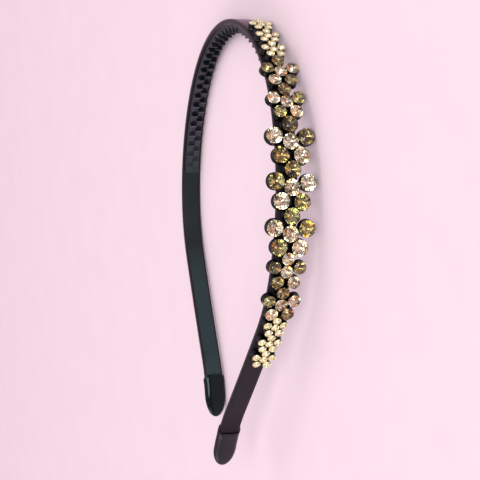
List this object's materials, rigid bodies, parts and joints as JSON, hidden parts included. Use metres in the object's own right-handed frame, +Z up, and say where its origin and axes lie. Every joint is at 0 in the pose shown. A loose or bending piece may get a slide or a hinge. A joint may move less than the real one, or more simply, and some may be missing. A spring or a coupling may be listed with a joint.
{
  "type": "crystal headband",
  "caption": "Hoop headband with an inner comb strip, end caps and a row of crystal flowers in cup settings down one side.",
  "frame": {"origin": "centre of the footprint of the headband as it lies on its side, at the height of the table", "axes": "+Y from the tips towards the crown, +X towards the leg with the flowers, +Z up, away from the table"},
  "size_m": [0.1112, 0.1422, 0.0201],
  "materials": {
    "satin_ribbon": "springy plastic core covered with black satin ribbon",
    "moulded_comb": "moulded black plastic, semi-matt",
    "dipped_cap": "glossy black dipped plastic",
    "black_setting": "glossy black moulded acrylic",
    "champagne_crystal": "cut glass backed with foil, pale champagne",
    "olive_crystal": "cut glass backed with foil, dark olive gold"
  },
  "bodies": {
    "root": {"band": "satin_ribbon", "comb_strip": "moulded_comb", "decorated_end_cap": "dipped_cap", "plain_end_cap": "dipped_cap", "flower_01_setting": "black_setting", "flower_01_champagne_stones": "champagne_crystal", "flower_02_setting": "black_setting", "flower_02_champagne_stones": "champagne_crystal", "flower_03_setting": "black_setting", "flower_03_champagne_stones": "champagne_crystal", "flower_04_setting": "black_setting", "flower_04_champagne_stones": "champagne_crystal", "flower_04_olive_stones": "olive_crystal", "flower_05_setting": "black_setting", "flower_05_champagne_stones": "champagne_crystal", "flower_05_olive_stones": "olive_crystal", "flower_06_setting": "black_setting", "flower_06_champagne_stones": "champagne_crystal", "flower_06_olive_stones": "olive_crystal", "flower_07_setting": "black_setting", "flower_07_champagne_stones": "champagne_crystal", "flower_07_olive_stones": "olive_crystal", "flower_08_setting": "black_setting", "flower_08_champagne_stones": "champagne_crystal", "flower_08_olive_stones": "olive_crystal", "flower_09_setting": "black_setting", "flower_09_champagne_stones": "champagne_crystal", "flower_09_olive_stones": "olive_crystal", "flower_10_setting": "black_setting", "flower_10_champagne_stones": "champagne_crystal", "flower_10_olive_stones": "olive_crystal", "flower_11_setting": "black_setting", "flower_11_champagne_stones": "champagne_crystal", "flower_12_setting": "black_setting", "flower_12_champagne_stones": "champagne_crystal", "flower_13_setting": "black_setting", "flower_13_champagne_stones": "champagne_crystal"}
  },
  "joints": []
}
